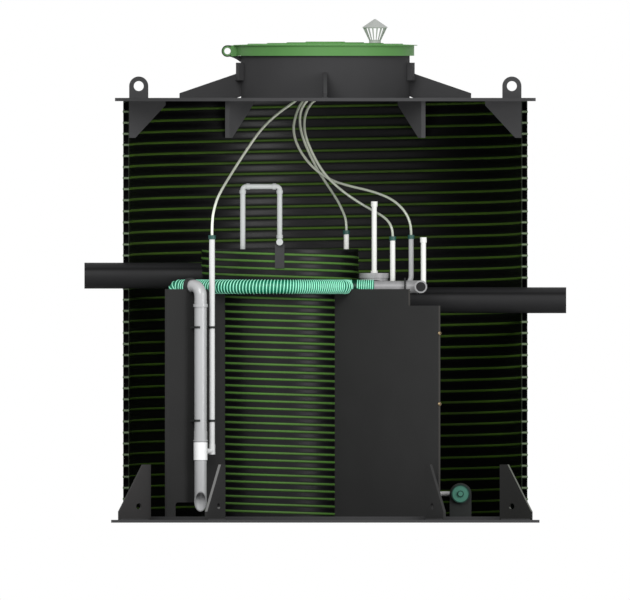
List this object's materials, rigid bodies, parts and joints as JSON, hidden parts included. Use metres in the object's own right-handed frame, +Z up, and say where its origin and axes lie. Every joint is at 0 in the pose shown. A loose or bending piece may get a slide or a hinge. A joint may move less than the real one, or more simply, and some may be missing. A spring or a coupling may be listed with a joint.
{
  "type": "cutaway packaged sewage treatment plant",
  "caption": "Round plastic sewage treatment tank cut open at the front, with an inner tank, partitions, air lift, hoses, neck and hinged lid.",
  "frame": {"origin": "centre of the base plate's underside", "axes": "+Z up, +X to the outlet pipe, -Y towards the cut-open front"},
  "size_m": [2.038, 1.812, 2.1304],
  "materials": {
    "structural_plastic": "satin black plastic plate",
    "wall_plastic": "spiral wound black plastic profile",
    "partition_plastic": "satin dark grey plastic plate",
    "steel": "turned steel",
    "lid_green": "semi-gloss green",
    "cowl_white": "semi-gloss white",
    "black_pipe": "glossy black pipe",
    "grey_pipe": "semi-gloss grey pipe",
    "white_pipe": "semi-gloss white pipe",
    "rubber": "black rubber",
    "clip_plastic": "dark moulded plastic",
    "transfer_hose_teal": "translucent teal spiral hose",
    "sleeve_teal": "dark teal plastic",
    "air_hose": "cream grey flexible hose"
  },
  "bodies": {
    "root": {"base_plate": "structural_plastic", "tank_floor": "structural_plastic", "base_gussets": "structural_plastic", "top_plate": "structural_plastic", "lifting_lugs": "structural_plastic", "top_gussets": "structural_plastic", "neck": "structural_plastic", "neck_braces": "structural_plastic", "neck_pads": "structural_plastic", "hinge_bracket": "structural_plastic", "siphon_bracket": "structural_plastic", "fitting_shelf": "structural_plastic", "wall_segment_1": "wall_plastic", "wall_segment_2": "wall_plastic", "wall_segment_3": "wall_plastic", "wall_segment_4": "wall_plastic", "inner_tank": "wall_plastic", "partition_left": "partition_plastic", "partition_right": "partition_plastic", "hinge_pin": "steel", "inlet_pipe": "black_pipe", "outlet_pipe": "black_pipe", "tee_plug": "black_pipe", "airlift_pipe": "grey_pipe", "airlift_elbow": "grey_pipe", "skimmer_pipe": "grey_pipe", "tee": "grey_pipe", "filter_pot": "grey_pipe", "diffuser_air_line": "grey_pipe", "airlift_collar": "white_pipe", "airlift_air_line": "white_pipe", "siphon_pipe": "white_pipe", "air_risers": "white_pipe", "airlift_grommet": "rubber", "tee_gasket": "rubber", "pipe_clips": "clip_plastic", "diffuser_brackets": "clip_plastic", "air_manifold": "clip_plastic", "transfer_hose": "transfer_hose_teal", "hose_sleeves": "sleeve_teal", "diffuser": "sleeve_teal", "air_hose_1": "air_hose", "air_hose_2": "air_hose", "air_hose_3": "air_hose", "air_hose_4": "air_hose"},
    "lid": {"lid": "lid_green", "vent_cowl": "cowl_white"}
  },
  "joints": [
    {"name": "lid_hinge", "type": "hinge", "parent": "root", "child": "lid", "pos_m": [-0.414, 0, 1.995], "axis": [0, -1, 0], "range_deg": [0, 100]}
  ]
}
